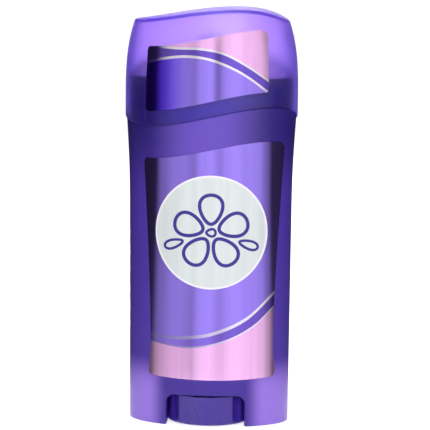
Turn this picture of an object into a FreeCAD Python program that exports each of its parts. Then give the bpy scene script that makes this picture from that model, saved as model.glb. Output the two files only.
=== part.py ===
"""Twist-up deodorant stick: oval barrel, see-through overcap, grip wheel in the foot and a solid stick.

The wheel and its threaded spindle are one moulding. Turning it drives a carrier up the spindle, and the
carrier pushes the stick out of the neck. Units are millimetres, +Z is up, the printed side faces -Y, and
the origin is at the middle of the foot.
"""

import FreeCAD
import Part

import math
import os

V = FreeCAD.Vector
UP = V(0, 0, 1)

# Barrel outline. Walls and clearances are added outwards from the foot, up to the cap's rim.
foot_half_width = 28.0
foot_half_depth = 15.6
barrel_wall = 1.4
barrel_draft = 0.0053
flare_length = 28.0
seam_height = 108.2
seam_wave = 3.5
seam_step = 0.4
seam_gap = 0.3
neck_engagement = 9.3
neck_wall = 1.4
neck_clearance = 0.55
neck_rim_round = 0.5

# Cap outline
cap_wall = 1.5
cap_top_wall = 1.5
cap_height = 37.0
cap_headroom = 13.7
top_corner_drop = 4.7
crown_fall = 1.0
bulge_rise = 4.8
shoulder_draw = 3.2
cap_edge_round = 1.1
grip_rib_radius = 0.5
grip_rib_gap = 0.3
grip_rib_angles = (40, 65, 115, 140)
grip_rib_top_gap = 3.0

# Foot of the barrel: a pocket for the wheel, open at the front and the back
floor_underside = 10.8
floor_thickness = 1.6
arch_half_width = 13.6
arch_corner_round = 3.0
arch_lip_round = 0.8
pocket_wall = 1.4
wheel_side_clearance = 0.6
foot_edge_round = 0.45
spindle_hole_clearance = 0.3

# Wheel and spindle
wheel_radius = 15.4
wheel_foot_gap = 0.3
wheel_floor_gap = 0.5
wheel_rim_thickness = 2.2
wheel_web_thickness = 2.0
wheel_hub_radius = 5.6
wheel_spoke_thickness = 1.2
wheel_spokes = 8
wheel_chamfer = 0.6
scallops = 16
scallop_radius = 4.5
scallop_depth = 0.55
spindle_radius = 4.0
collar_radius = 5.2
collar_gap = 0.3
collar_height = 1.7
thread_core_radius = 2.9
thread_crest_radius = 4.0
thread_lead = 4.0
thread_root_width = 2.2
thread_tip_width = 1.1
thread_root_sink = 0.3
thread_clearance = 0.3
thread_start = 1.0
spindle_tip_length = 1.0

# Carrier that climbs the spindle
platform_overrun = 1.1
platform_thickness = 1.6
platform_headroom = 2.7
slide_clearance = 0.3
wiper_depth = 9.0
wiper_wall = 1.1
nut_length = 8.0
nut_floor_gap = 0.4
post_radius = 6.2
post_bore_clearance = 0.4
post_rib_thickness = 1.2
post_rib_depth = 8.0
holding_fin_height = 5.0
holding_fin_thickness = 1.1
holding_ring_radius = 9.0

# Stick and the lift-off seal over it
seal_gap = 0.3
seal_wall = 0.8
seal_flange_thickness = 0.9
seal_flange_inset = 0.15
seal_tab_width = 11.0
seal_tab_height = 4.0
seal_tab_thickness = 1.0
seal_tab_root = 3.0

# Printed labels
glue_film = 0.05
label_film = 0.2
front_label_offset = 1.8
front_label_bottom = 16.6
front_label_bottom_bow = 0.85
front_label_seam_gap = 11.5
front_label_foot_half_width = 21.9
front_label_waist_half_width = 21.1
front_label_mid_half_width = 21.9
front_label_head_half_width = 24.1
front_label_waist_height = 30.0
front_label_mid_height = 57.0
front_label_round = 1.5
cap_label_offset = -0.3
cap_label_seam_gap = 5.2
cap_label_crest_gap = 10.1
cap_label_foot_half_width = 21.3
cap_label_head_half_width = 20.4
cap_label_round = 1.2

# Sections that draw the two skins, and how far the cap's run past its crest
barrel_spans = 12
cap_spans = 8
cap_overrun = 3.0

# Sizes worked out from the ones above: widths, then heights from the foot up
bore_half_width = foot_half_width - barrel_wall
bore_half_depth = foot_half_depth - barrel_wall
neck_half_width = bore_half_width + neck_wall
neck_half_depth = bore_half_depth + neck_wall
rim_half_width = neck_half_width + neck_clearance + cap_wall
rim_half_depth = neck_half_depth + neck_clearance + cap_wall
wave_twist = 2 * seam_wave / (rim_half_width * rim_half_depth)
slide_half_width = bore_half_width - slide_clearance
slide_half_depth = bore_half_depth - slide_clearance
spindle_hole_radius = spindle_radius + spindle_hole_clearance
pocket_radius = wheel_radius + wheel_side_clearance
wheel_top = floor_underside - wheel_floor_gap
floor_top = floor_underside + floor_thickness
collar_foot = floor_top + collar_gap
collar_top = collar_foot + collar_height
nut_foot = collar_top + nut_floor_gap
thread_foot = collar_top + thread_start
flare_start = seam_height - flare_length
below_seam = seam_height - 2 * seam_wave - 1
neck_height = seam_height + seam_wave + neck_engagement
overall_height = seam_height + cap_height
bulge_height = seam_height + bulge_rise
corner_height = overall_height - top_corner_drop
stick_top = overall_height - cap_headroom
stick_dome = stick_top - neck_height

# The nut climbs the whole thread, so the room from floor to neck rim is shared between thread and travel
above_thread = spindle_tip_length + platform_headroom + platform_thickness
fixed_stack = nut_foot + nut_length + thread_lead / 2 + above_thread
travel = (neck_height + platform_overrun - fixed_stack) / 2
thread_top = nut_foot + nut_length + travel + thread_lead / 2
spindle_top = thread_top + spindle_tip_length
platform_underside = spindle_top + platform_headroom
platform_height = platform_underside + platform_thickness
far = 2 * rim_half_width
tall = 2 * overall_height


def oval(half_width, half_depth, height):
    """A flat elliptical wire at a height."""
    return Part.Wire(Part.Ellipse(V(0, 0, height), half_width, half_depth).toShape())


def oval_prism(half_width, half_depth, low, high):
    """An upright elliptical bar."""
    return Part.Face(oval(half_width, half_depth, low)).extrude(UP * (high - low))


def oval_loft(size_at, low, high, spans, grow=0.0):
    """A smooth oval body whose half width and half depth follow size_at(height)."""
    wires = []
    for step in range(spans + 1):
        height = low + (high - low) * step / spans
        half_width, half_depth = size_at(height)
        wires.append(oval(half_width + grow, half_depth + grow, height))
    return Part.makeLoft(wires, True, False)


def tube(radius, low, high):
    """An upright round bar on the spindle's axis."""
    return Part.makeCylinder(radius, high - low, V(0, 0, low))


def slab(half_x, half_y, low, high):
    """An upright rectangular block round the spindle's axis."""
    return Part.makeBox(2 * half_x, 2 * half_y, high - low, V(-half_x, -half_y, low))


def turned(points):
    """A solid turned about the spindle's axis from a closed outline of (radius, height) points."""
    corners = [V(radius, 0, height) for radius, height in points]
    outline = Part.makePolygon(corners + corners[:1])
    return Part.Face(outline).revolve(V(0, 0, 0), UP, 360)


def half_ellipsoid(half_width, half_depth, rise, foot):
    """A dome standing on a height."""
    ball = Part.makeSphere(1.0)
    stretch = FreeCAD.Matrix()
    stretch.scale(half_width, half_depth, rise)
    dome = ball.transformGeometry(stretch)
    dome.translate(UP * foot)
    return dome.common(slab(far, far, foot, foot + 2 * rise))


def barrel_size(height):
    """Half width and half depth of the barrel's outside: a slight draft, then a flare up to the seam."""
    draft = barrel_draft * height
    rise = max(0.0, height - flare_start) / flare_length
    flare = rim_half_width - seam_step - foot_half_width - barrel_draft * seam_height
    swell = draft + flare * rise**1.7
    return foot_half_width + swell, foot_half_depth + swell


def cap_size(height):
    """Half width and half depth of the cap's outside: upright at the rim, then drawn in towards the top."""
    rise = max(0.0, height - bulge_height) / (corner_height - bulge_height)
    draw = shoulder_draw * rise**3
    return rim_half_width - draw, rim_half_depth - draw


def under_wave(height):
    """Everything below the wavy seam surface, which is low at the front left and the back right."""
    rise = wave_twist * far * far
    ends = []
    for side in (-1, 1):
        left, right = V(-far, side * far, height + side * rise), V(far, side * far, height - side * rise)
        low_left, low_right = V(-far, side * far, -tall), V(far, side * far, -tall)
        ends.append(Part.makePolygon([left, right, low_right, low_left, left]))
    return Part.makeLoft(ends, True, True)


def wave_at(height, x, half_width, half_depth):
    """Height of the wave where it crosses the front of an oval body."""
    y = -half_depth * math.sqrt(max(0.0, 1 - (x / half_width) ** 2))
    return height - wave_twist * x * y


def crest_line(y, fall):
    """The cap's top line, a lopsided swell that is slow on the left and quick on the right."""
    swell = ((-1.15, 1.03), (-0.88, 0.95), (-0.33, 0.38), (0.23, 0.0), (0.64, 0.25), (0.9, 1.0), (1.1, 2.0))
    top = overall_height - fall
    line = Part.BSplineCurve()
    line.interpolate([V(rim_half_width * x, y, top - top_corner_drop * drop) for x, drop in swell])
    return Part.Wire(line.toShape())


def under_crown(sunk):
    """Everything below the cap's top surface, lowered by sunk: the crest line, crowned from front to back."""
    reach = 1.4
    fall = crown_fall * reach**2
    y = rim_half_depth * reach
    lines = [crest_line(-y, fall + sunk), crest_line(0, sunk), crest_line(y, fall + sunk)]
    return Part.makeLoft(lines, False, False).extrude(-UP * tall)


def on_oval(half_width, half_depth, angle):
    """A point on an ellipse and its outward normal; the angle is in degrees round from +X."""
    turn = math.radians(angle)
    point = V(half_width * math.cos(turn), half_depth * math.sin(turn), 0)
    normal = V(point.x / half_width**2, point.y / half_depth**2, 0)
    return point, normal.normalize()


def front_edges(shape):
    """Edges of a prism that run straight back along Y."""
    found = []
    for edge in shape.Edges:
        span = edge.BoundBox
        if span.YLength > 1 and span.XLength < 1e-6 and span.ZLength < 1e-6:
            found.append(edge)
    return found


def make_cap():
    """Overcap: a drawn-in oval shell with a crested top, a wavy rim and grip ribs inside."""
    low, high = below_seam, overall_height + cap_overrun
    outside = oval_loft(cap_size, low, high, cap_spans).common(under_crown(0))
    rims = [edge for edge in outside.Edges if edge.BoundBox.ZMin > bulge_height]
    outside = outside.makeFillet(cap_edge_round, rims)
    inside = oval_loft(cap_size, low, high, cap_spans, -cap_wall).common(under_crown(cap_top_wall))
    ribs = []
    rib_top = neck_height - grip_rib_top_gap
    for angle in grip_rib_angles:
        for turn in (0, 180):
            point, normal = on_oval(neck_half_width, neck_half_depth, angle + turn)
            middle = point + normal * (grip_rib_gap + grip_rib_radius)
            ribs.append(Part.makeCylinder(grip_rib_radius, rib_top - low, middle + UP * low))
    room = inside.cut(Part.makeCompound(ribs))
    return outside.cut(under_wave(seam_height)).cut(room)


def arch_way(grow, low, high):
    """The straight way through the foot, from front to back, with rounded upper corners."""
    arch = slab(arch_half_width + grow, far, low, high + grow)
    return arch.makeFillet(arch_corner_round, [e for e in front_edges(arch) if e.BoundBox.ZMin > low])


def arch_lips(body):
    """Edges where the arch breaks through the barrel's outside."""
    found = []
    for edge in body.Edges:
        middle = edge.valueAt((edge.FirstParameter + edge.LastParameter) / 2)
        half_width, half_depth = barrel_size(middle.z)
        on_skin = abs((middle.x / half_width) ** 2 + (middle.y / half_depth) ** 2 - 1) < 0.01
        within = abs(middle.x) < arch_half_width + 0.01 and middle.z < floor_underside + 0.01
        if on_skin and within and middle.z > 0.01:
            found.append(edge)
    return found


def make_barrel():
    """Barrel: oval wall, wavy shoulder, neck, floor with the spindle's hole, and the walled pocket below."""
    outside = oval_loft(barrel_size, 0, seam_height + 3 * seam_wave, barrel_spans)
    outside = outside.cut(arch_way(0, -1, floor_underside))
    outside = outside.makeFillet(arch_lip_round, arch_lips(outside))
    bottom = [edge for edge in outside.Edges if edge.BoundBox.ZMax < 1e-3]
    outside = outside.makeFillet(foot_edge_round, bottom)
    body = outside.common(under_wave(seam_height - seam_gap))
    neck = oval_prism(neck_half_width, neck_half_depth, floor_top, neck_height)
    rim = [edge for edge in neck.Edges if edge.BoundBox.ZMin > neck_height - 1e-3]
    body = body.fuse(neck.makeFillet(neck_rim_round, rim))
    body = body.cut(oval_prism(bore_half_width, bore_half_depth, floor_top, neck_height + 1))
    ring = tube(pocket_radius + pocket_wall, -1, floor_underside)
    walls = ring.fuse(arch_way(pocket_wall, -1, floor_underside))
    body = body.cut(oval_prism(bore_half_width, bore_half_depth, -1, floor_underside).cut(walls))
    body = body.cut(tube(pocket_radius, -1, floor_underside))
    return body.cut(tube(spindle_hole_radius, floor_underside - 1, floor_top + 1))


def thread(grow, low, high):
    """A left-handed helical ridge, so that turning the wheel anticlockwise from above lifts the carrier."""
    root = thread_core_radius - thread_clearance - thread_root_sink
    crest = thread_crest_radius + grow
    wide = thread_root_width / 2 + grow
    narrow = thread_tip_width / 2 + grow
    corners = [V(root, 0, -wide), V(crest, 0, -narrow), V(crest, 0, narrow), V(root, 0, wide)]
    outline = Part.makePolygon(corners + corners[:1])
    outline.translate(UP * low)
    helix = Part.makeHelix(thread_lead, high - low, thread_core_radius, 0, True)
    helix.translate(UP * low)
    return Part.Wire(helix.Edges).makePipeShell([outline], True, True)


def make_wheel():
    """Grip wheel with its threaded spindle, one moulding."""
    inner = wheel_radius - wheel_rim_thickness
    web = wheel_top - wheel_web_thickness
    foot = wheel_foot_gap
    wheel = turned(
        [
            (0, foot),
            (wheel_radius - wheel_chamfer, foot),
            (wheel_radius, foot + wheel_chamfer),
            (wheel_radius, wheel_top),
            (spindle_radius, wheel_top),
            (spindle_radius, collar_foot),
            (collar_radius, collar_foot),
            (thread_core_radius, collar_top),
            (thread_core_radius, thread_top),
            (thread_core_radius - spindle_tip_length, spindle_top),
            (0, spindle_top),
        ]
    )
    hollow = tube(inner, foot - 1, web).cut(tube(wheel_hub_radius, foot - 1, web))
    for spoke in range(wheel_spokes):
        rib = slab(wheel_radius, wheel_spoke_thickness / 2, foot + wheel_chamfer, web)
        rib.rotate(V(0, 0, 0), UP, 180 * spoke / wheel_spokes)
        hollow = hollow.cut(rib)
    wheel = wheel.cut(hollow)
    scallop = tube(scallop_radius, 0, wheel_top)
    scallop.translate(V(wheel_radius + scallop_radius - scallop_depth, 0, 0))
    for flute in range(scallops):
        cutter = scallop.copy()
        cutter.rotate(V(0, 0, 0), UP, 360 * flute / scallops)
        wheel = wheel.cut(cutter)
    return wheel.fuse(thread(0, thread_foot + thread_root_width / 2, thread_top - thread_root_width / 2))


def make_carrier():
    """Carrier: a closed platform with a wiper skirt, holding fins on top and a long nut post below."""
    platform = oval_prism(slide_half_width, slide_half_depth, platform_height - wiper_depth, platform_height)
    room = oval_prism(
        slide_half_width - wiper_wall,
        slide_half_depth - wiper_wall,
        platform_height - wiper_depth,
        platform_underside,
    )
    body = platform.cut(room)
    body = body.fuse(tube(post_radius, nut_foot, platform_underside))
    half_rib = post_rib_thickness / 2
    for half_x, half_y in ((slide_half_width, half_rib), (half_rib, slide_half_depth)):
        rib = slab(half_x, half_y, platform_underside - post_rib_depth, platform_underside)
        body = body.fuse(rib.common(platform))
    ring = tube(holding_ring_radius, platform_height, platform_height + holding_fin_height)
    body = body.fuse(ring.cut(tube(holding_ring_radius - holding_fin_thickness, 0, tall)))
    fin_reach = slide_half_width - wiper_wall
    fin = slab(fin_reach, holding_fin_thickness / 2, platform_height, platform_height + holding_fin_height)
    body = body.fuse(fin.cut(tube(holding_ring_radius - holding_fin_thickness, 0, tall)))
    nut_top = nut_foot + nut_length
    body = body.cut(tube(thread_crest_radius + post_bore_clearance, nut_top, platform_underside))
    body = body.cut(tube(thread_core_radius + thread_clearance, nut_foot - 1, nut_top + 1))
    turns_below = math.ceil((nut_foot - thread_foot + 2 * thread_lead) / thread_lead)
    groove_low = thread_foot + thread_root_width / 2 - turns_below * thread_lead
    return body.cut(thread(thread_clearance, groove_low, nut_top + thread_lead))


def make_stick(carrier):
    """The solid stick: cast on the carrier's platform and fins, with a domed top."""
    stick = oval_prism(slide_half_width, slide_half_depth, platform_height, neck_height)
    dome = half_ellipsoid(slide_half_width, slide_half_depth, stick_dome, neck_height)
    return stick.fuse(dome).removeSplitter().cut(carrier)


def make_seal():
    """Lift-off seal: a thin dome over the stick, with a flange on the neck's rim and a pull tab."""
    foot = neck_height + seal_gap
    inner_width = slide_half_width + seal_gap
    inner_depth = slide_half_depth + seal_gap
    outer = half_ellipsoid(inner_width + seal_wall, inner_depth + seal_wall, stick_dome + seal_wall, foot)
    flange = oval_prism(
        neck_half_width - seal_flange_inset,
        neck_half_depth - seal_flange_inset,
        foot,
        foot + seal_flange_thickness,
    )
    tab_top = foot + stick_dome + seal_wall + seal_tab_height
    tab_middle = V(0, seal_tab_thickness / 2, tab_top - seal_tab_width / 2)
    tab = Part.makeCylinder(seal_tab_width / 2, seal_tab_thickness, tab_middle, V(0, -1, 0))
    stem = slab(seal_tab_width / 2, seal_tab_thickness / 2, stick_top - seal_tab_root, tab_middle.z)
    tab = tab.fuse(stem)
    inner = half_ellipsoid(inner_width, inner_depth, stick_dome, foot)
    return outer.fuse(flange).fuse(tab).cut(inner)


def film_on(size_at, low, high, spans, outline):
    """A thin printed film that follows an oval body, cut to an outline extruded from the front."""
    outside = oval_loft(size_at, low, high, spans, glue_film + label_film)
    return outside.common(outline).cut(oval_loft(size_at, low, high, spans, glue_film))


def wave_edge(height, left, right, size_at):
    """A label's edge that runs parallel to the seam, drawn in the front plane."""
    half_width, half_depth = size_at(height)
    count = 8
    points = []
    for step in range(count + 1):
        x = left + (right - left) * step / count
        points.append(V(x, 0, wave_at(height, x, half_width, half_depth)))
    line = Part.BSplineCurve()
    line.interpolate(points)
    return line.toShape(), points[0], points[-1]


def curve_through(points):
    """A smooth edge through points."""
    line = Part.BSplineCurve()
    line.interpolate(points)
    return line.toShape()


def outline_prism(edges, radius):
    """A closed outline in the front plane, extruded forwards, with its corners rounded."""
    wire = Part.Wire(Part.__sortEdges__(edges))
    prism = Part.Face(wire).extrude(V(0, -far, 0))
    return prism.makeFillet(radius, front_edges(prism))


def make_front_label():
    """The large label: narrow at the waist, with a wavy top edge."""
    sides = []
    for side in (-1, 1):
        stations = [
            (front_label_foot_half_width, front_label_bottom + front_label_bottom_bow),
            (front_label_waist_half_width, front_label_waist_height),
            (front_label_mid_half_width, front_label_mid_height),
        ]
        points = [V(front_label_offset + side * half, 0, height) for half, height in stations]
        sides.append(points)
    left = front_label_offset - front_label_head_half_width
    right = front_label_offset + front_label_head_half_width
    top, left_end, right_end = wave_edge(seam_height - front_label_seam_gap, left, right, barrel_size)
    edges = [top, curve_through(sides[0] + [left_end]), curve_through(sides[1] + [right_end])]
    low_middle = V(front_label_offset, 0, front_label_bottom)
    edges.append(Part.Arc(sides[0][0], low_middle, sides[1][0]).toShape())
    outline = outline_prism(edges, front_label_round)
    return film_on(barrel_size, 0, seam_height + 3 * seam_wave, barrel_spans, outline)


def make_cap_label():
    """The small label on the cap, with both long edges parallel to the seam."""
    foot_left = cap_label_offset - cap_label_foot_half_width
    foot_right = cap_label_offset + cap_label_foot_half_width
    head_left = cap_label_offset - cap_label_head_half_width
    head_right = cap_label_offset + cap_label_head_half_width
    low, high = seam_height + cap_label_seam_gap, overall_height - cap_label_crest_gap
    bottom, low_left, low_right = wave_edge(low, foot_left, foot_right, cap_size)
    top, high_left, high_right = wave_edge(high, head_left, head_right, cap_size)
    left = Part.LineSegment(low_left, high_left).toShape()
    right = Part.LineSegment(low_right, high_right).toShape()
    outline = outline_prism([bottom, top, left, right], cap_label_round)
    return film_on(cap_size, below_seam, overall_height + cap_overrun, cap_spans, outline)


def main():
    os.makedirs("parts", exist_ok=True)
    carrier = make_carrier()
    nodes = {
        "cap": make_cap(),
        "barrel": make_barrel(),
        "wheel_and_spindle": make_wheel(),
        "carrier": carrier,
        "stick": make_stick(carrier),
        "seal": make_seal(),
        "front_label": make_front_label(),
        "cap_label": make_cap_label(),
    }
    for name, shape in nodes.items():
        solids = shape.Solids
        shape = solids[0] if len(solids) == 1 else Part.makeCompound(solids)
        shape.exportStep(f"parts/{name}.step")
        box = shape.optimalBoundingBox(False)
        print(f"{name}: {len(solids)} solid, valid {shape.isValid()}, {shape.Volume:.1f} mm3,")
        print(f"  {box.XLength:.2f} wide, {box.YLength:.2f} deep, z {box.ZMin:.2f} to {box.ZMax:.2f}")


main()
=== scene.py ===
"""Looks for a twist-up deodorant stick: see-through violet plastic, foil labels and a plain studio.

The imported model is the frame. The moulded pieces and the solid stick keep their own meshes and get their
finishes here. The two labels are built here as thin printed films that follow the barrel and the cap. They
stand for the plain ones.
"""

import math

import bpy
from bpy.props import FloatProperty, FloatVectorProperty, IntProperty, PointerProperty
from mathutils import Matrix, Vector


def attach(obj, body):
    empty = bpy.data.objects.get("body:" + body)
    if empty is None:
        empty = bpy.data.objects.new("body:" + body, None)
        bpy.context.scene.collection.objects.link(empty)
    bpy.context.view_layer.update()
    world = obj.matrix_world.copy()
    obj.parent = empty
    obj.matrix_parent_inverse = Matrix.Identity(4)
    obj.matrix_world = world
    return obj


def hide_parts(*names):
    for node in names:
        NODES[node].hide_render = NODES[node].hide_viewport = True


bl_info = {
    "name": "Twist-up stick",
    "version": (1, 0, 0),
    "blender": (4, 5, 0),
    "location": "3D View > Sidebar > Stick",
    "description": "Dresses a packed twist-up stick with its finishes, printed labels and studio",
    "category": "Object",
}

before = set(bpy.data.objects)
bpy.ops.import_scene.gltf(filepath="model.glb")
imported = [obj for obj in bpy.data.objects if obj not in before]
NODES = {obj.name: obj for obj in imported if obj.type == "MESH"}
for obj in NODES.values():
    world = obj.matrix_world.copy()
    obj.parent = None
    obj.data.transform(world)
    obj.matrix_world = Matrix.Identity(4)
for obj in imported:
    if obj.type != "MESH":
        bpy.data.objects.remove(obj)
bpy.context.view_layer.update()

FLARE_POWER = 1.7  # how late the barrel's flare sets in
MOULDED_EDGE = math.radians(30)
FILM_EDGE = math.radians(40)
PLASTIC_IOR = 1.49
NOISE_SPAN = (0.3, 0.7)  # noise seldom leaves this span
PRINT_BODY = 0.9  # a print's thickness as a share of its lift, so that it stays clear of what lies below

# Where the plastics' colours change, from the first place to the second, in metres. These changes are
# painted light and shade: painted shade on the cap over the barrel's neck and at its narrow ends, and on the
# barrel's sides, shoulder and pocket; painted light in the barrel's middle and thin legs
CAP_DOWN_TO_NECK = (0.124, 0.116)
CAP_OUT_TO_END = (0.022, 0.0295)
BARREL_UP_TO_SHOULDER = (0.078, 0.104)
BARREL_OUT_TO_SIDE = (0.004, 0.022)
BARREL_DOWN_TO_FOOT = (0.0245, 0.0135)
BARREL_OUT_TO_LEG = (0.0135, 0.0205)

# Half widths of the labels, as (height, half width)
FRONT_HALF_WIDTHS = ((0.0170, 0.0219), (0.030, 0.0211), (0.057, 0.0219), (0.0985, 0.0241))
CAP_HALF_WIDTHS = ((0.110, 0.0213), (0.123, 0.02085), (0.136, 0.0204))

# Upper and lower edge of the printed sweep on each label, as (x, height) from left to right
FRONT_SWEEP_TOP = (
    (-0.0240, 0.0335), (-0.0167, 0.0320), (-0.0064, 0.0321),
    (0.0031, 0.0338), (0.0143, 0.0391), (0.0235, 0.0480),
)
FRONT_SWEEP_BOTTOM = (
    (-0.0240, 0.0315), (-0.0182, 0.0298), (-0.0045, 0.0284),
    (0.0074, 0.0311), (0.0167, 0.0362), (0.0235, 0.0430),
)
CAP_SWEEP_TOP = (
    (-0.022, 0.1325), (-0.0116, 0.1318), (-0.00195, 0.1316),
    (0.0059, 0.1300), (0.0145, 0.1253), (0.0215, 0.1202),
)
CAP_SWEEP_BOTTOM = (
    (-0.022, 0.1262), (-0.0157, 0.1280), (-0.0072, 0.1290), (0.00075, 0.1281),
    (0.0085, 0.1252), (0.0146, 0.1216), (0.0215, 0.1161),
)

# Brightness of the screen that gloss sees, as (degrees from the front to the right, brightness)
SCREEN_PANELS = (
    (-166, 0.70), (-152, 0.10), (-110, 0.02), (-54, 0.02), (-45, 0.40), (-31, 0.66), (-24, 0.66),
    (-16, 0.54), (-8, 0.88), (0, 1.0), (7, 0.70), (14, 0.92), (22, 1.0), (33, 0.87), (46, 0.78),
    (55, 0.40), (63, 0.05), (94, 0.02), (140, 0.04), (158, 0.40), (172, 0.80),
)

# First and last azimuth of each dark card, in degrees from the front to the right
CARDS = {"card_left": (-126, -54), "card_right": (64, 126)}

# Each softbox's place, what it aims at, its width and its height, in metres
SOFTBOXES = {
    "front_softbox": ((0.12, -0.62, 0.42), (0, 0, 0.08), 0.35, 0.5),
    "top_softbox": ((-0.05, 0.02, 0.62), (0, 0, 0.1), 0.5, 0.4),
    "back_softbox": ((-0.15, 0.62, 0.42), (0, 0, 0.08), 0.5, 0.4),
}


def length(name, value, description):
    """A size property in metres."""
    return FloatProperty(name=name, description=description, default=value, unit="LENGTH", precision=5)


def number(name, value, description, unit="NONE"):
    """A number property."""
    return FloatProperty(name=name, description=description, default=value, unit=unit)


def fraction(name, value, description):
    """A number property between 0 and 1."""
    return FloatProperty(
        name=name, description=description, default=value, subtype="FACTOR", min=0.0, max=1.0
    )


def colour(name, value, description):
    """A colour property, in linear light."""
    return FloatVectorProperty(
        name=name, description=description, default=value, subtype="COLOR", size=3, min=0.0, max=1.0
    )


class PackBodyShape(bpy.types.PropertyGroup):
    """Outside sizes of the barrel and the cap, which the labels follow."""

    foot_half_width: length("Foot half width", 0.0280, "Half width of the barrel at its foot")
    foot_half_depth: length("Foot half depth", 0.0156, "Half depth of the barrel at its foot")
    draft: number("Draft", 0.0053, "Half width gained per unit of height")
    seam_height: length("Seam height", 0.1082, "Middle height of the seam between barrel and cap")
    flare_length: length("Flare length", 0.0280, "Height over which the barrel flares up to the seam")
    rim_half_width: length("Rim half width", 0.03005, "Half width of the cap at its rim")
    rim_half_depth: length("Rim half depth", 0.01765, "Half depth of the cap at its rim")
    seam_step: length("Seam step", 0.0004, "How far the cap's rim stands proud of the barrel")
    seam_wave: length("Seam wave", 0.0035, "How far the seam rises and falls")
    top_height: length("Top height", 0.1452, "Height of the cap's crest")
    corner_height: length("Corner height", 0.1405, "Height of the cap's top corners")
    bulge_height: length("Bulge height", 0.1130, "Height above which the cap draws in")
    shoulder_draw: length("Shoulder draw", 0.0032, "How far the cap draws in at its top corners")


class PackLabelShape(bpy.types.PropertyGroup):
    """Outlines of the two labels, the disc and the blossom."""

    film_lift: length("Film lift", 0.00025, "Height of the film's face over the plastic")
    film_thickness: length("Film thickness", 0.0002, "Thickness of the film")
    ink_lift: length("Ink lift", 0.00003, "Height of the disc and the blossom over the film")
    front_offset: length("Front label offset", 0.0018, "How far the front label sits right of the middle")
    front_seam_gap: length("Front label seam gap", 0.0115, "From the front label's top edge to the seam")
    front_bottom: length("Front label bottom", 0.0166, "Lowest point of the front label")
    front_bottom_bow: length("Front label bow", 0.00085, "Rise of the front label's lower corners")
    front_round: length("Front label corner", 0.0015, "Corner radius of the front label")
    disc_offset: length("Disc offset", 0.0017, "How far the pale disc sits right of the middle")
    disc_height: length("Disc height", 0.0685, "Height of the pale disc's middle")
    disc_radius: length("Disc radius", 0.0198, "Radius of the pale disc")
    disc_rim: length("Disc rim", 0.0007, "Width of the white ring round the disc")
    petal_line: length("Petal line", 0.0012, "Width of the blossom's petal outlines")
    leaf_line: length("Leaf line", 0.0009, "Width of the outlines of the leaves and of the blossom's eye")
    cap_offset: length("Cap label offset", -0.0003, "How far the cap label sits right of the middle")
    cap_seam_gap: length("Cap label seam gap", 0.0052, "From the cap label's bottom edge to the seam")
    cap_crest_gap: length("Cap label crest gap", 0.0101, "From the cap label's top edge to the crest")
    cap_round: length("Cap label corner", 0.0012, "Corner radius of the cap label")
    columns: IntProperty(name="Columns", description="Columns in each label", default=96, min=24, max=300)


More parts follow.
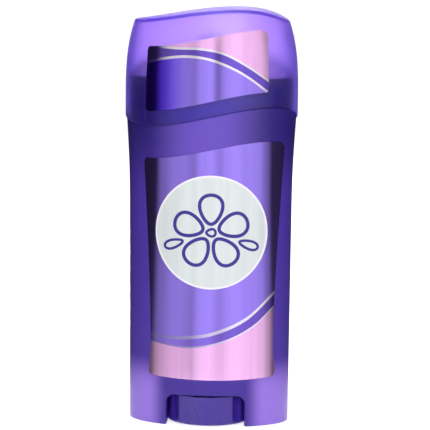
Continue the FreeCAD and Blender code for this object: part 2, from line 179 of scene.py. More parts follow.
class PackFinishes(bpy.types.PropertyGroup):
    """Colours of the plastics, the film and the prints; the plastics' colours also carry painted light and
    shade.
    """

    cap_body: colour("Cap body", (0.84, 0.72, 1.0), "The cap's plastic on its wide faces")
    # Painted shade: the cap's narrow ends are painted deeper in colour than its wide faces
    cap_end_shade: colour("Cap ends", (0.70, 0.64, 1.0), "The cap's plastic at its narrow ends")
    # Painted shade: the cap is painted darker low down, where the barrel's neck stands behind it
    cap_neck_shade: colour("Cap over the neck", (0.40, 0.24, 0.86), "The cap's plastic over the barrel's neck")
    cap_tint: colour("Cap tint", (0.40, 0.02, 1.0), "What the cap lets through as it gets thicker")
    cap_density: number("Cap density", 260.0, "Strength of the cap's tint per metre")
    cap_clear: fraction("Cap clearness", 0.97, "Share of light that passes the cap")
    cap_roughness: fraction("Cap roughness", 0.34, "Cloudiness of the cap")
    cap_gloss: fraction("Cap gloss", 0.25, "Shine of the cap")
    # Painted shade: the barrel's sides are painted darker than its middle
    side_shaded_body: colour("Barrel body", (0.103, 0.050, 0.50), "The barrel's plastic at its sides")
    # Painted light: the barrel's middle is painted lighter than its sides
    middle_lit_body: colour("Barrel middle", (0.175, 0.085, 0.66), "The barrel's plastic in its middle")
    # Darker where the neck doubles the wall, and painted shade under the cap's rim on the barrel's upper
    # sides
    shoulder_shade_body: colour("Shoulder body", (0.044, 0.022, 0.27), "The barrel where the neck backs it")
    # Painted light: the thin legs are painted paler, as if lit through
    leg_lit_body: colour("Leg body", (0.44, 0.25, 1.0), "The barrel's thin legs")
    # Darker where the pocket's wall stands behind the plastic, with painted shade in the recess round the
    # wheel
    pocket_shade_body: colour("Pocket body", (0.062, 0.022, 0.40), "The barrel where the pocket's wall backs it")
    barrel_tint: colour("Barrel tint", (0.40, 0.10, 0.92), "What the barrel lets through as it gets thicker")
    barrel_density: number("Barrel density", 60.0, "Strength of the barrel's tint per metre")
    barrel_clear: fraction("Barrel clearness", 0.22, "Share of light that passes the barrel")
    barrel_roughness: fraction("Barrel roughness", 0.42, "Cloudiness of the barrel")
    barrel_gloss: fraction("Barrel gloss", 0.4, "Shine of the barrel")
    wheel_body: colour("Wheel body", (0.066, 0.026, 0.39), "The grip wheel")
    wheel_clear: fraction("Wheel clearness", 0.15, "Share of light that passes the wheel")
    wheel_roughness: fraction("Wheel roughness", 0.3, "Cloudiness of the wheel")
    wheel_gloss: fraction("Wheel gloss", 0.45, "Shine of the wheel")
    foil_violet: colour("Foil violet", (0.365, 0.24, 0.97), "Violet field of the labels")
    # Painted reflection: the cap label's violet is painted deeper and bluer at its left end, where the foil
    # reflects dark
    foil_left_reflection: colour("Foil violet, left", (0.10, 0.025, 0.98), "Violet field at the cap label's left end")
    foil_deep: colour("Foil deep violet", (0.19, 0.105, 0.66), "Deep violet between the bands")
    foil_pink: colour("Foil pink", (1.0, 0.54, 0.97), "Pink field of the labels")
    foil_band: colour("Foil band", (0.93, 0.86, 1.0), "Pale bands of the labels")
    disc_face: colour("Disc face", (0.74, 0.79, 0.80), "Face of the pale disc")
    disc_edge: colour("Disc edge", (0.93, 0.90, 0.97), "Ring round the pale disc")
    ink_blue: colour("Ink", (0.042, 0.025, 0.28), "Ink of the blossom")
    white_plastic: colour("White plastic", (0.84, 0.84, 0.88), "Carrier")
    seal_plastic: colour("Seal plastic", (0.80, 0.78, 0.90), "Lift-off seal")
    stick_wax: colour("Stick", (0.88, 0.88, 0.86), "The solid stick")


class PackStage(bpy.types.PropertyGroup):
    """Camera and studio."""

    camera_place: FloatVectorProperty(
        name="Camera place",
        description="Where the camera stands",
        default=(0.0737, -0.8, 0.1881),
        size=3,
        subtype="TRANSLATION",
        unit="LENGTH",
    )
    camera_yaw: number("Yaw", 0.0899, "Turn to the left", unit="ROTATION")
    camera_pitch: number("Pitch", 0.1431, "Tilt down", unit="ROTATION")
    camera_roll: number("Roll", 0.0099, "Lean of the frame", unit="ROTATION")
    camera_lens: number("Lens", 194.05, "Focal length in millimetres", unit="CAMERA")
    dome_level: fraction("Dome", 0.44, "Level of the pale dome")
    key_watts: number("Key light", 2.7, "Power of the front softbox", unit="POWER")
    top_watts: number("Top light", 1.2, "Power of the top softbox", unit="POWER")
    back_watts: number("Back light", 2.5, "Power of the back softbox", unit="POWER")
    floor_tone: fraction("Floor tone", 0.86, "Reflectance of the floor")
    floor_lift: fraction("Floor lift", 0.62, "Brightness added to the floor where it is seen")
    card_colour: colour("Card colour", (0.012, 0.01, 0.03), "The dark cards beside the pack")
    card_distance: length("Card distance", 0.12, "From the pack's middle to the dark cards")
    screen_radius: length("Screen radius", 0.075, "From the pack's middle to the bright screen")
    screen_level: number("Screen level", 1.06, "Brightness of the screen's brightest panel")
    strip_depth: fraction("Strip depth", 0.5, "How much the screen's upper strip is dimmed")
    studio_top: length("Studio top", 0.30, "Height of the cards and the screen")


# Shapes that the labels follow


def barrel_size(shape, height):
    """Half width and half depth of the barrel's outside at a height."""
    full = shape.rim_half_width - shape.seam_step - shape.foot_half_width - shape.draft * shape.seam_height
    rise = max(0.0, height - shape.seam_height + shape.flare_length) / shape.flare_length
    swell = shape.draft * height + full * rise**FLARE_POWER
    return shape.foot_half_width + swell, shape.foot_half_depth + swell


def cap_size(shape, height):
    """Half width and half depth of the cap's outside at a height."""
    rise = max(0.0, height - shape.bulge_height) / (shape.corner_height - shape.bulge_height)
    draw = shape.shoulder_draw * rise**3
    return shape.rim_half_width - draw, shape.rim_half_depth - draw


def front_of(half_width, half_depth, x):
    """Y of the front of an oval at x."""
    return -half_depth * math.sqrt(max(0.0, 1 - (x / half_width) ** 2))


def on_front(size, shape, x, height, lift):
    """A point on the front of an oval body, lifted along the surface normal."""
    half_width, half_depth = size(shape, height)
    y = front_of(half_width, half_depth, x)
    normal = Vector((x / half_width**2, y / half_depth**2, 0)).normalized()
    return Vector((x, y, height)) + normal * lift


def seam_wave_at(size, shape, height, x):
    """How far an edge parallel to the seam rises at x."""
    twist = 2 * shape.seam_wave / (shape.rim_half_width * shape.rim_half_depth)
    return -twist * x * front_of(*size(shape, height), x)


def smooth_line(points):
    """A function through (place, value) points, with an even slope between them."""
    xs, zs = [p[0] for p in points], [p[1] for p in points]
    count = len(points)
    slopes = []
    for i in range(count):
        low, high = max(0, i - 1), min(count - 1, i + 1)
        slopes.append((zs[high] - zs[low]) / (xs[high] - xs[low]))

    def at(x):
        x = min(max(x, xs[0]), xs[-1])
        i = max(0, min(count - 2, sum(1 for v in xs[1:-1] if v < x)))
        span = xs[i + 1] - xs[i]
        t = (x - xs[i]) / span
        a, b = zs[i], zs[i + 1]
        c, d = slopes[i] * span, slopes[i + 1] * span
        return a + t * c + t * t * (3 * (b - a) - 2 * c - d) + t * t * t * (2 * (a - b) + c + d)

    return at


# Mesh helpers


def piece(name, vertices, faces, materials, body):
    """A mesh object that rides on a body; faces are (corner indices, material index)."""
    mesh = bpy.data.meshes.new(name)
    mesh.from_pydata([tuple(v) for v in vertices], [], [f[0] for f in faces])
    for material in materials:
        mesh.materials.append(material)
    for polygon, face in zip(mesh.polygons, faces):
        polygon.material_index = face[1]
        polygon.use_smooth = True
    mesh.validate()
    mesh.update()
    made = bpy.data.objects.new(name, mesh)
    bpy.context.scene.collection.objects.link(made)
    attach(made, body)
    return made


def thicken(made, thickness):
    """Gives a film its thickness, behind its printed face, and keeps its edges crisp."""
    weld = made.modifiers.new("close", "WELD")
    weld.merge_threshold = 0.000002
    solid = made.modifiers.new("film", "SOLIDIFY")
    solid.thickness = thickness
    solid.offset = -1
    solid.use_even_offset = True
    thick = bpy.data.meshes.new_from_object(made.evaluated_get(bpy.context.evaluated_depsgraph_get()))
    made.modifiers.clear()
    made.data = thick
    thick.set_sharp_from_angle(angle=FILM_EDGE)


def dress(node, material):
    """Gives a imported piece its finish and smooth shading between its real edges."""
    made = NODES[node]
    if not made.material_slots:
        made.data.materials.append(material)
    for holder in made.material_slots:
        holder.material = material
    for polygon in made.data.polygons:
        polygon.use_smooth = True
    made.data.set_sharp_from_angle(angle=MOULDED_EDGE)
    weighted = made.modifiers.new("even shading", "WEIGHTED_NORMAL")
    weighted.keep_sharp = True


# Material helpers


def finish_for(name):
    """A new node material; gives the material, its node tree, its shader and its output."""
    material = bpy.data.materials.new(name)
    material.use_nodes = True
    tree = material.node_tree
    tree.nodes.clear()
    shader = tree.nodes.new("ShaderNodeBsdfPrincipled")
    output = tree.nodes.new("ShaderNodeOutputMaterial")
    tree.links.new(shader.outputs["BSDF"], output.inputs["Surface"])
    return material, tree, shader, output


def rgba(value):
    """A colour with full cover."""
    return (value[0], value[1], value[2], 1.0)


def places(tree):
    """The piece's own x, y and z."""
    place = tree.nodes.new("ShaderNodeTexCoord")
    apart = tree.nodes.new("ShaderNodeSeparateXYZ")
    tree.links.new(place.outputs["Object"], apart.inputs["Vector"])
    return apart.outputs["X"], apart.outputs["Y"], apart.outputs["Z"]


def maths(tree, kind, first, second=None):
    """A Math node over a socket and a second socket or number."""
    made = tree.nodes.new("ShaderNodeMath")
    made.operation = kind
    tree.links.new(first, made.inputs[0])
    if isinstance(second, (int, float)):
        made.inputs[1].default_value = second
    elif second is not None:
        tree.links.new(second, made.inputs[1])
    return made.outputs["Value"]


def remap(tree, source, found, wanted, soft=False):
    """Carries a value from one range to another, evenly or with a soft start and end."""
    span = tree.nodes.new("ShaderNodeMapRange")
    if soft:
        span.interpolation_type = "SMOOTHSTEP"
    for ends, (low, high) in (("From", found), ("To", wanted)):
        span.inputs[ends + " Min"].default_value = low
        span.inputs[ends + " Max"].default_value = high
    tree.links.new(source, span.inputs["Value"])
    return span.outputs["Result"]


def ramp_between(tree, source, start, end):
    """0 before start and 1 past end, in either direction, with a soft step between."""
    return remap(tree, source, (start, end), (0.0, 1.0), soft=True)


def blend(tree, share, first, second):
    """A colour between two, each a plain colour or another node's colour."""
    tone = tree.nodes.new("ShaderNodeMix")
    tone.data_type = "RGBA"
    for end, value in (("A", first), ("B", second)):
        if isinstance(value, bpy.types.NodeSocket):
            tree.links.new(value, tone.inputs[end])
        else:
            tone.inputs[end].default_value = rgba(value)
    tree.links.new(share, tone.inputs["Factor"])
    return tone.outputs["Result"]


def noise(tree, scale, stretch, detail):
    """Noise over the object's own space, stretched along its axes."""
    place = tree.nodes.new("ShaderNodeTexCoord")
    mapping = tree.nodes.new("ShaderNodeMapping")
    mapping.inputs["Scale"].default_value = stretch
    tree.links.new(place.outputs["Object"], mapping.inputs["Vector"])
    made = tree.nodes.new("ShaderNodeTexNoise")
    made.inputs["Scale"].default_value = scale
    made.inputs["Detail"].default_value = detail
    tree.links.new(mapping.outputs["Vector"], made.inputs["Vector"])
    return made.outputs["Fac"]


def texture(tree, shader, grain, roughness, strength, height, least=0.85, most=1.15):
    """Lets noise vary the roughness, between two shares of it, and raise the surface a little."""
    varied = remap(tree, grain, NOISE_SPAN, (roughness * least, roughness * most))
    tree.links.new(varied, shader.inputs["Roughness"])
    bump = tree.nodes.new("ShaderNodeBump")
    bump.inputs["Strength"].default_value = strength
    bump.inputs["Distance"].default_value = height
    tree.links.new(grain, bump.inputs["Height"])
    tree.links.new(bump.outputs["Normal"], shader.inputs["Normal"])


# Finishes


def see_through_plastic(name, body, tint, density, clear, roughness, gloss):
    """Cloudy tinted moulding with a glossy skin: the tint deepens with the plastic's thickness."""
    material, tree, shader, output = finish_for(name)
    shader.inputs["Base Color"].default_value = rgba(body)
    shader.inputs["Transmission Weight"].default_value = clear
    shader.inputs["IOR"].default_value = PLASTIC_IOR
    shader.inputs["Specular IOR Level"].default_value = gloss
    shader.inputs["Coat Weight"].default_value = gloss / 2
    shader.inputs["Coat Roughness"].default_value = 0.06
    grain = noise(tree, scale=90.0, stretch=(1, 1, 0.35), detail=3.0)
    texture(tree, shader, grain, roughness, strength=0.1, height=0.00006)
    inside = tree.nodes.new("ShaderNodeVolumeAbsorption")
    inside.inputs["Color"].default_value = rgba(tint)
    inside.inputs["Density"].default_value = density
    tree.links.new(inside.outputs["Volume"], output.inputs["Volume"])
    return material, tree, shader


def cap_plastic(finishes):
    """The cap's plastic, with painted shade: deeper in colour at its narrow ends and darker where the
    barrel's neck stands behind it.
    """
    material, tree, shader = see_through_plastic(
        "cap_violet",
        finishes.cap_body,
        finishes.cap_tint,
        finishes.cap_density,
        finishes.cap_clear,
        finishes.cap_roughness,
        finishes.cap_gloss,
    )
    x, _, z = places(tree)
    # Painted shade: darker low on the cap, over the barrel's neck
    face = blend(tree, ramp_between(tree, z, *CAP_DOWN_TO_NECK), finishes.cap_body, finishes.cap_neck_shade)
    # Painted shade: deeper colour at the cap's narrow ends
    outward = ramp_between(tree, maths(tree, "ABSOLUTE", x), *CAP_OUT_TO_END)
    tree.links.new(blend(tree, outward, face, finishes.cap_end_shade), shader.inputs["Base Color"])
    return material


def barrel_plastic(finishes):
    """The barrel's plastic, with painted light and shade: painted light in its middle and its thin legs,
    painted shade at its sides, on its shoulder under the cap's rim and round the pocket, where the neck and
    the pocket's wall also stand behind it.
    """
    material, tree, shader = see_through_plastic(
        "barrel_violet",
        finishes.side_shaded_body,
        finishes.barrel_tint,
        finishes.barrel_density,
        finishes.barrel_clear,
        finishes.barrel_roughness,
        finishes.barrel_gloss,
    )
    x, _, z = places(tree)
    across = maths(tree, "ABSOLUTE", x)
    # Painted shade on the barrel's upper sides, under the cap's rim
    shoulder_shade_share = ramp_between(tree, z, *BARREL_UP_TO_SHOULDER)
    sides = blend(tree, shoulder_shade_share, finishes.side_shaded_body, finishes.shoulder_shade_body)
    # Painted light in the barrel's middle, painted shade at its sides
    above = blend(tree, ramp_between(tree, across, *BARREL_OUT_TO_SIDE), finishes.middle_lit_body, sides)
    # Painted shade round the wheel's pocket, painted light in the thin legs
    pocket_shade_to_leg_light = ramp_between(tree, across, *BARREL_OUT_TO_LEG)
    foot = blend(tree, pocket_shade_to_leg_light, finishes.pocket_shade_body, finishes.leg_lit_body)
    whole = blend(tree, ramp_between(tree, z, *BARREL_DOWN_TO_FOOT), above, foot)
    tree.links.new(whole, shader.inputs["Base Color"])
    return material


def wheel_plastic(finishes):
    """The grip wheel's plastic: one deep violet."""
    material, _, _ = see_through_plastic(
        "wheel_violet",
        finishes.wheel_body,
        finishes.barrel_tint,
        finishes.barrel_density,
        finishes.wheel_clear,
        finishes.wheel_roughness,
        finishes.wheel_gloss,
    )
    return material


def opaque(name, value, roughness, scatter=0.0):
    """Opaque material with a faint grain; scatter lets some light spread under its skin."""
    material, tree, shader, _ = finish_for(name)
    shader.inputs["Base Color"].default_value = rgba(value)
    shader.inputs["IOR"].default_value = PLASTIC_IOR
    if scatter:
        shader.inputs["Subsurface Weight"].default_value = scatter
        shader.inputs["Subsurface Radius"].default_value = (0.6, 0.5, 0.9)
        shader.inputs["Subsurface Scale"].default_value = 0.003
    grain = noise(tree, scale=700.0, stretch=(1, 1, 1), detail=4.0)
    texture(tree, shader, grain, roughness, strength=0.1, height=0.00004)
    return material


def foil(name, value, roughness, metal, coat=0.3, left=None, fade=(0.0, 0.0)):
    """Printed metallised film with upright streaks.

    left is the colour at the label's left. Between the two places across in fade it turns to value.
    """
    material, tree, shader, _ = finish_for(name)
    shader.inputs["Metallic"].default_value = metal
    shader.inputs["Coat Weight"].default_value = coat
    shader.inputs["Coat Roughness"].default_value = 0.05
    streaks = noise(tree, scale=520.0, stretch=(1.0, 1.0, 0.01), detail=2.0)
    darker, lighter = [c * 0.96 for c in value], [min(1.0, c * 1.03) for c in value]
    paint = blend(tree, ramp_between(tree, streaks, *NOISE_SPAN), darker, lighter)
    if left is not None:
        x, _, _ = places(tree)
        paint = blend(tree, ramp_between(tree, x, *fade), left, paint)
    tree.links.new(paint, shader.inputs["Base Color"])
    texture(tree, shader, streaks, roughness, strength=0.04, height=0.00002, most=1.2)
    return material


# Printed films


def round_in(distance, radius):
    """How far an edge draws in near a rounded corner."""
    if distance >= radius:
        return 0.0
    return radius - math.sqrt(max(0.0, radius**2 - (radius - distance) ** 2))


def settle(rule, start):
    """The height where a rule gives its own height back."""
    z = start
    for _ in range(12):
        z = rule(z)
    return z


def label_sheet(name, size, shape, label, half_at, offset, bottom, top, fields, corners, body):
    """A printed film on the front of an oval body.

    half_at gives the half width at a height, and bottom and top give the edges' heights at x. fields lists
    (upper limit as a function of x, material, rows of faces) from the bottom up. corners gives the radii at
    the bottom, at the top left and at the top right.
    """
    crowding = 0.55  # how far the columns crowd towards the two ends
    sliver = 0.000004  # a face lower than this is left out
    materials = []
    for _, material, _ in fields:
        if material not in materials:
            materials.append(material)
    vertices, faces = [], []
    for i in range(label.columns + 1):
        even, crowded = 2 * i / label.columns - 1, -math.cos(math.pi * i / label.columns)
        u = crowding * crowded + (1 - crowding) * even

        def across(z):
            return offset + u * half_at(z)

        low = settle(lambda z: bottom(across(z)), bottom(offset))
        high = settle(lambda z: top(across(z)), top(offset))
        low += round_in((1 - abs(u)) * half_at(low), corners[0])
        high -= round_in((1 - abs(u)) * half_at(high), corners[1] if u < 0 else corners[2])
        cuts = [low]
        for limit, _, _ in fields[:-1]:
            cut = settle(lambda z: limit(across(z)), (low + high) / 2)
            cuts.append(min(max(cut, cuts[-1]), high))
        cuts.append(high)
        heights = [low]
        for lower, upper, (_, _, count) in zip(cuts, cuts[1:], fields):
            heights += [lower + (upper - lower) * (k + 1) / count for k in range(count)]
        vertices += [on_front(size, shape, across(z), z, label.film_lift) for z in heights]
    rows = [materials.index(material) for _, material, count in fields for _ in range(count)]
    for i in range(label.columns):
        for row, index in enumerate(rows):
            a = i * (len(rows) + 1) + row
            b = a + len(rows) + 1
            if (vertices[a + 1] - vertices[a]).length + (vertices[b + 1] - vertices[b]).length > sliver:
                faces.append(([a, b, b + 1, a + 1], index))
    made = piece(name, vertices, faces, materials, body)
    thicken(made, label.film_thickness)
    return made


def disc_points(shape, label, spots, lift):
    """Lays flat (across, up) spots about the disc's middle on the barrel's front, at their true widths."""
    half_width, half_depth = barrel_size(shape, label.disc_height)
    steps = 24
    made = []
    for across, up in spots:
        x = label.disc_offset
        for _ in range(steps):
            slope = half_depth * x / (half_width**2 * math.sqrt(1 - (x / half_width) ** 2))
            x += across / steps / math.sqrt(1 + slope**2)
        made.append(on_front(barrel_size, shape, x, label.disc_height + up, lift))
    return made


def pale_disc(shape, label, finishes):
    """The pale disc with its white ring."""
    face = foil("disc_face", finishes.disc_face, roughness=0.5, metal=0.08, coat=0.08)
    edge = opaque("disc_ring", finishes.disc_edge, roughness=0.3)
    rings, around = 12, 120
    radii = [label.disc_radius * k / rings for k in range(1, rings)]
    radii += [label.disc_radius - label.disc_rim, label.disc_radius]
    spots = [(0.0, 0.0)]
    for radius in radii:
        for k in range(around):
            turn = 2 * math.pi * k / around
            spots.append((radius * math.cos(turn), radius * math.sin(turn)))
    vertices = disc_points(shape, label, spots, label.film_lift + label.ink_lift)
    faces = [([0, 1 + k, 1 + (k + 1) % around], 0) for k in range(around)]
    for ring in range(rings):
        for k in range(around):
            a, b = 1 + ring * around + k, 1 + ring * around + (k + 1) % around
            faces.append(([a, a + around, b + around, b], 1 if ring == rings - 1 else 0))
    made = piece("label_disc", vertices, faces, [face, edge], "barrel")
    thicken(made, label.ink_lift * PRINT_BODY)


def ribbon(path, width):
    """The two edges of a drawn line along a closed flat path."""
    left, right = [], []
    for before, spot, after in zip(path[-1:] + path[:-1], path, path[1:] + path[:1]):
        run = (Vector(after) - Vector(before)).normalized()
        side = Vector((-run.y, run.x)) * width / 2
        left.append(tuple(Vector(spot) + side))
        right.append(tuple(Vector(spot) - side))
    return left, right


def petal_path(reach, breadth, foot, turn, count):
    """A closed teardrop from foot to reach along a direction, fuller towards its tip."""
    path = []
    for k in range(count):
        t = 2 * math.pi * k / count
        share = (1 - math.cos(t)) / 2
        out = foot + (reach - foot) * share
        side = breadth * math.sin(t) * (0.55 + 0.45 * share)
        path.append(
            (out * math.cos(turn) - side * math.sin(turn), out * math.sin(turn) + side * math.cos(turn))
        )
    return path


def blossom(shape, label, finishes):
    """A plain five-petalled blossom in outline with two leaves, on the disc."""
    ink = opaque("blossom_ink", finishes.ink_blue, roughness=0.35)
    # Reach, breadth and foot as shares of the disc's radius, direction in degrees, points and line width
    strokes = [(0.66, 0.25, 0.15, 90 + 72 * k, 48, label.petal_line) for k in range(5)]
    strokes.append((0.08, 0.08, -0.08, 0, 24, label.leaf_line))
    strokes += [(0.86, 0.09, 0.52, degrees, 40, label.leaf_line) for degrees in (198, 342)]
    vertices, faces = [], []
    for reach, breadth, foot, degrees, count, width in strokes:
        path = petal_path(
            label.disc_radius * reach,
            label.disc_radius * breadth,
            label.disc_radius * foot,
            math.radians(degrees),
            count,
        )
        start = len(vertices)
        for edge in ribbon(path, width):
            vertices += disc_points(shape, label, edge, label.film_lift + 2 * label.ink_lift)
        for k in range(count):
            n = (k + 1) % count
            faces.append(([start + k, start + count + k, start + count + n, start + n], 0))
    made = piece("label_blossom", vertices, faces, [ink], "barrel")
    thicken(made, label.ink_lift * PRINT_BODY)


# One operator for each piece or group of pieces


class PACK_OT_cap(bpy.types.Operator):
    """Gives the cap its see-through violet plastic"""

    bl_idname = "pack.cap"
    bl_label = "Cap"

    def execute(self, context):
        dress("cap", cap_plastic(context.scene.pack_finishes))
        return {"FINISHED"}


class PACK_OT_barrel(bpy.types.Operator):
    """Gives the barrel and the grip wheel their deeper violet plastic"""

    bl_idname = "pack.barrel"
    bl_label = "Barrel and wheel"

    def execute(self, context):
        finishes = context.scene.pack_finishes
        dress("barrel", barrel_plastic(finishes))
        dress("wheel_and_spindle", wheel_plastic(finishes))
        return {"FINISHED"}


class PACK_OT_lift(bpy.types.Operator):
    """Finishes the carrier, the solid stick and the lift-off seal"""

    bl_idname = "pack.lift"
    bl_label = "Carrier, stick and seal"

    def execute(self, context):
        finishes = context.scene.pack_finishes
        dress("carrier", opaque("carrier_white", finishes.white_plastic, roughness=0.4))
        dress("stick", opaque("stick_wax", finishes.stick_wax, roughness=0.5, scatter=0.4))
        dress("seal", opaque("seal_milky", finishes.seal_plastic, roughness=0.35))
        return {"FINISHED"}


class PACK_OT_front_label(bpy.types.Operator):
    """Builds the printed front label with its disc and blossom"""

    bl_idname = "pack.front_label"
    bl_label = "Front label"

    def execute(self, context):
        shape, label = context.scene.pack_shape, context.scene.pack_label
        finishes = context.scene.pack_finishes
        dulled = [0.62 * c + 0.1 for c in finishes.foil_violet]
        violet = foil("label_violet", finishes.foil_violet, roughness=0.13, metal=0.985)
        deep = foil(
            "label_deep_violet",
            finishes.foil_deep,
            roughness=0.13,
            metal=0.96,
            left=finishes.foil_violet,
            fade=(-0.022, 0.016),
        )
        pink = foil("label_pink", finishes.foil_pink, roughness=0.16, metal=0.94)
        band = foil(
            "label_band", finishes.foil_band, roughness=0.15, metal=0.9, left=dulled, fade=(-0.016, 0.018)
        )
        half_at = smooth_line(FRONT_HALF_WIDTHS)
        upper, lower = smooth_line(FRONT_SWEEP_TOP), smooth_line(FRONT_SWEEP_BOTTOM)
        foot_half_width = FRONT_HALF_WIDTHS[0][1]
        thin_band, thick_band = 0.0006, 0.0012

        def bottom(x):
            across = (x - label.front_offset) / foot_half_width
            return label.front_bottom + label.front_bottom_bow * across**2

        def top(x):
            height = shape.seam_height - label.front_seam_gap
            return height + seam_wave_at(barrel_size, shape, height, x)

        fields = [
            (lambda x: lower(x) - thin_band, pink, 8),
            (lower, band, 1),
            (lambda x: upper(x) - thick_band, deep, 2),
            (upper, band, 1),
            (top, violet, 24),
        ]
        sheet = label_sheet(
            "printed_front_label",
            barrel_size,
            shape,
            label,
            half_at,
            label.front_offset,
            bottom,
            top,
            fields,
            (label.front_round, label.front_round, label.front_round),
            "barrel",
        )
        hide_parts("front_label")
        pale_disc(shape, label, finishes)
        blossom(shape, label, finishes)
        return {"FINISHED"}


class PACK_OT_cap_label(bpy.types.Operator):
    """Builds the printed label on the cap"""

    bl_idname = "pack.cap_label"
    bl_label = "Cap label"

    def execute(self, context):
        shape, label = context.scene.pack_shape, context.scene.pack_label
        finishes = context.scene.pack_finishes
        # Painted reflection: the violet turns deeper and bluer towards the label's left end
        violet = foil(
            "cap_label_violet",
            finishes.foil_violet,
            roughness=0.13,
            metal=0.985,
            coat=0.2,
            left=finishes.foil_left_reflection,
            fade=(-0.0185, -0.004),
        )
        deep = foil("cap_label_deep_violet", finishes.foil_deep, roughness=0.13, metal=0.96)
        pink = foil("cap_label_pink", finishes.foil_pink, roughness=0.16, metal=0.94)
        band = foil(
            "cap_label_band",
            finishes.foil_band,
            roughness=0.15,
            metal=0.9,
            left=finishes.foil_deep,
            fade=(-0.019, -0.013),
        )
        half_at = smooth_line(CAP_HALF_WIDTHS)
        upper, lower = smooth_line(CAP_SWEEP_TOP), smooth_line(CAP_SWEEP_BOTTOM)
        # How far the two pale bands reach below and above the sweep's edges
        below, above_lower, above_upper = 0.0005, 0.0004, 0.0003

        def bottom(x):
            height = shape.seam_height + label.cap_seam_gap
            return height + seam_wave_at(cap_size, shape, height, x)

        def top(x):
            height = shape.top_height - label.cap_crest_gap
            return height + seam_wave_at(cap_size, shape, height, x)

        fields = [
            (lambda x: lower(x) - below, violet, 8),
            (lambda x: lower(x) + above_lower, band, 1),
            (lambda x: upper(x) - below, deep, 2),
            (lambda x: upper(x) + above_upper, band, 1),
            (top, pink, 4),
        ]
        sheet = label_sheet(
            "printed_cap_label",
            cap_size,
            shape,
            label,
            half_at,
            label.cap_offset,
            bottom,
            top,
            fields,
            (label.cap_round, label.cap_round, 2 * label.cap_round),
            "cap",
        )
        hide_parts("cap_label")
        return {"FINISHED"}


class PACK_OT_stage(bpy.types.Operator):
    """Sets the floor, the pale dome, the lights, the dark cards, the screen and the camera"""

    bl_idname = "pack.stage"
    bl_label = "Stage and camera"

    def execute(self, context):
        stage = context.scene.pack_stage
        make_floor(stage)
        make_dome(stage)
        make_lights(stage)
        make_cards(stage)
        make_screen(stage)
        make_camera(stage)
        return {"FINISHED"}


# The studio


def seen_directly(tree):
    """1 for rays from the camera, from gloss and through clear plastic, 0 for the rest."""
    path = tree.nodes.new("ShaderNodeLightPath")
    total = path.outputs["Is Camera Ray"]
    for kind in ("Is Glossy Ray", "Is Transmission Ray"):
        total = maths(tree, "MAXIMUM", total, path.outputs[kind])
    return total


def make_floor(stage):
    """A wide pale floor that stays near white and keeps a soft shadow."""
    reach = 6.0
    mesh = bpy.data.meshes.new("floor")
    corners = [(-reach, -reach, 0), (reach, -reach, 0), (reach, reach, 0), (-reach, reach, 0)]
    mesh.from_pydata(corners, [], [(0, 1, 2, 3)])
    floor = bpy.data.objects.new("floor", mesh)
    bpy.context.scene.collection.objects.link(floor)
    material, tree, shader, output = finish_for("floor_pale")
    shader.inputs["Base Color"].default_value = rgba([stage.floor_tone] * 3)
    shader.inputs["Roughness"].default_value = 0.6
    shader.inputs["Specular IOR Level"].default_value = 0.1
    glow = tree.nodes.new("ShaderNodeEmission")
    tree.links.new(maths(tree, "MULTIPLY", seen_directly(tree), stage.floor_lift), glow.inputs["Strength"])
    both = tree.nodes.new("ShaderNodeAddShader")
    tree.links.new(shader.outputs["BSDF"], both.inputs[0])
    tree.links.new(glow.outputs["Emission"], both.inputs[1])
    tree.links.new(both.outputs["Shader"], output.inputs["Surface"])
    mesh.materials.append(material)


def make_dome(stage):
    """The world: white where it is seen, and a plain level where it only lights."""
    world = bpy.data.worlds.new("dome")
    bpy.context.scene.world = world
    world.use_nodes = True
    tree = world.node_tree
    tree.nodes.clear()
    background = tree.nodes.new("ShaderNodeBackground")
    output = tree.nodes.new("ShaderNodeOutputWorld")
    background.inputs["Color"].default_value = (1, 1, 1, 1)
    level = remap(tree, seen_directly(tree), (0.0, 1.0), (stage.dome_level, 1.0))
    tree.links.new(level, background.inputs["Strength"])
    tree.links.new(background.outputs["Background"], output.inputs["Surface"])


def softbox(name, place, aim, width, height, watts):
    """A lamp that lights and shades; gloss sees the screen in its place."""
    lamp = bpy.data.lights.new(name, "AREA")
    lamp.shape = "RECTANGLE"
    lamp.size, lamp.size_y = width, height
    lamp.energy = watts
    made = bpy.data.objects.new(name, lamp)
    made.location = place
    made.rotation_mode = "QUATERNION"
    made.rotation_quaternion = (Vector(aim) - Vector(place)).to_track_quat("-Z", "Y")
    made.visible_glossy = False
    bpy.context.scene.collection.objects.link(made)


def make_lights(stage):
    """Three softboxes: in front, overhead and behind."""
    powers = (stage.key_watts, stage.top_watts, stage.back_watts)
    for (name, setting), watts in zip(SOFTBOXES.items(), powers):
        softbox(name, *setting, watts)


def arc_wall(name, distance, first, last, low, high, steps):
    """An upright wall on an arc about the pack; azimuths are in degrees from the front, to the right."""
    vertices, faces = [], []
    for k in range(steps + 1):
        turn = math.radians(first + (last - first) * k / steps)
        spot = (distance * math.sin(turn), -distance * math.cos(turn))
        vertices += [(*spot, low), (*spot, high)]
    for k in range(steps):
        faces.append((2 * k, 2 * k + 2, 2 * k + 3, 2 * k + 1))
    mesh = bpy.data.meshes.new(name)
    mesh.from_pydata(vertices, [], faces)
    for polygon in mesh.polygons:
        polygon.use_smooth = True
    wall = bpy.data.objects.new(name, mesh)
    bpy.context.scene.collection.objects.link(wall)
    wall.visible_camera = False
    wall.visible_shadow = False
    return wall


def make_cards(stage):
    """Two dark cards beside the pack, which darken the plastic's sides; the camera doesn't see them."""
    material, _, shader, _ = finish_for("card_black")
    shader.inputs["Base Color"].default_value = rgba(stage.card_colour)
    shader.inputs["Roughness"].default_value = 0.9
    for name, (first, last) in CARDS.items():
        card = arc_wall(name, stage.card_distance, first, last, low=0.03, high=stage.studio_top, steps=12)
        card.visible_glossy = False
        card.data.materials.append(material)


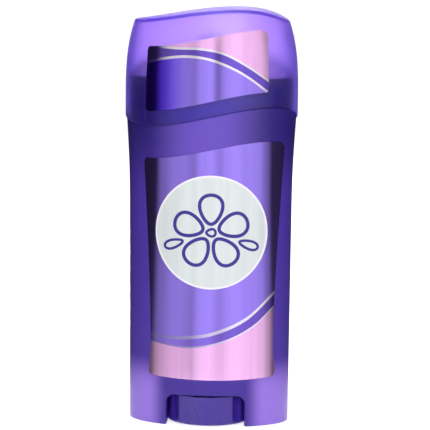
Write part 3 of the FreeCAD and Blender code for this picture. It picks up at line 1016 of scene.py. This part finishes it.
def make_screen(stage):
    """A screen all round that only gloss sees: bright panels with soft gaps in front, dark at the sides."""
    screen = arc_wall(
        "screen", stage.screen_radius, first=-180, last=180, low=0.0005, high=stage.studio_top, steps=96
    )
    screen.visible_diffuse = False
    screen.visible_transmission = False
    screen.visible_volume_scatter = False
    material, tree, shader, output = finish_for("screen_panels")
    tree.nodes.remove(shader)
    x, y, z = places(tree)
    around = maths(tree, "ARCTAN2", x, maths(tree, "MULTIPLY", y, -1.0))
    # The panels stand wider apart towards the floor
    spread = remap(tree, z, (0.02, 0.095), (0.87, 1.0))
    turned = maths(tree, "MULTIPLY", around, spread)
    ramp = tree.nodes.new("ShaderNodeValToRGB")
    ramp.color_ramp.interpolation = "EASE"
    stops = ramp.color_ramp.elements
    while len(stops) < len(SCREEN_PANELS):
        stops.new(0.5)
    for stop, (azimuth, level) in zip(stops, SCREEN_PANELS):
        stop.position = (azimuth + 180) / 360
        stop.color = (level, level, level, 1)
    tree.links.new(remap(tree, turned, (-math.pi, math.pi), (0.0, 1.0)), ramp.inputs["Fac"])
    glow = tree.nodes.new("ShaderNodeEmission")
    tree.links.new(ramp.outputs["Color"], glow.inputs["Color"])
    # A dimmer upright strip right of the middle, at the cap's height
    left_side = ramp_between(tree, around, math.radians(0.5), math.radians(4.5))
    right_side = ramp_between(tree, around, math.radians(9.5), math.radians(5.5))
    foot = ramp_between(tree, z, 0.098, 0.106)
    strip = maths(tree, "MULTIPLY", maths(tree, "MULTIPLY", left_side, right_side), foot)
    dimmed = maths(tree, "MULTIPLY", strip, -stage.strip_depth)
    tree.links.new(maths(tree, "ADD", dimmed, stage.screen_level), glow.inputs["Strength"])
    tree.links.new(glow.outputs["Emission"], output.inputs["Surface"])
    screen.data.materials.append(material)


def make_camera(stage):
    """The camera at the photo's angle, fitted to the pack's outline."""
    yaw, pitch, roll = -stage.camera_yaw, stage.camera_pitch, stage.camera_roll
    ahead = Vector((math.sin(yaw) * math.cos(pitch), math.cos(yaw) * math.cos(pitch), -math.sin(pitch)))
    right = Vector((math.cos(yaw), -math.sin(yaw), 0))
    up = right.cross(ahead)
    across = right * math.cos(roll) + up * math.sin(roll)
    above = up * math.cos(roll) - right * math.sin(roll)
    turn = Matrix((across, above, -ahead)).transposed()
    data = bpy.data.cameras.new("camera")
    data.sensor_width = 36.0
    data.lens = stage.camera_lens
    data.clip_start, data.clip_end = 0.01, 30.0
    camera = bpy.data.objects.new("camera", data)
    camera.matrix_world = Matrix.Translation(Vector(stage.camera_place)) @ turn.to_4x4()
    bpy.context.scene.collection.objects.link(camera)
    bpy.context.scene.camera = camera


class PACK_PT_panel(bpy.types.Panel):
    """Lists the pack's pieces and their sizes"""

    bl_idname = "PACK_PT_panel"
    bl_label = "Twist-up stick"
    bl_space_type = "VIEW_3D"
    bl_region_type = "UI"
    bl_category = "Stick"

    def draw(self, context):
        layout = self.layout
        for operator in STEPS:
            layout.operator(operator.bl_idname)
        for name in GROUPS:
            group = getattr(context.scene, name)
            box = layout.box()
            for field in group.__annotations__:
                box.prop(group, field)


STEPS = (
    PACK_OT_cap,
    PACK_OT_barrel,
    PACK_OT_lift,
    PACK_OT_front_label,
    PACK_OT_cap_label,
    PACK_OT_stage,
)
GROUPS = {
    "pack_shape": PackBodyShape,
    "pack_label": PackLabelShape,
    "pack_finishes": PackFinishes,
    "pack_stage": PackStage,
}


def register():
    """Registers the property groups, the operators and the panel."""
    for group in GROUPS.values():
        bpy.utils.register_class(group)
    for name, group in GROUPS.items():
        setattr(bpy.types.Scene, name, PointerProperty(type=group))
    for operator in STEPS:
        bpy.utils.register_class(operator)
    bpy.utils.register_class(PACK_PT_panel)


def unregister():
    """Takes back what register added, in the opposite order."""
    bpy.utils.unregister_class(PACK_PT_panel)
    for operator in reversed(STEPS):
        bpy.utils.unregister_class(operator)
    for name in GROUPS:
        delattr(bpy.types.Scene, name)
    for group in reversed(GROUPS.values()):
        bpy.utils.unregister_class(group)


def main():
    """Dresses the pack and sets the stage."""
    register()
    scene = bpy.context.scene
    scene.view_settings.view_transform = "Standard"
    bpy.ops.pack.cap()
    bpy.ops.pack.barrel()
    bpy.ops.pack.lift()
    bpy.ops.pack.front_label()
    bpy.ops.pack.cap_label()
    bpy.ops.pack.stage()
    bpy.context.view_layer.update()


if __name__ == "__main__":
    main()
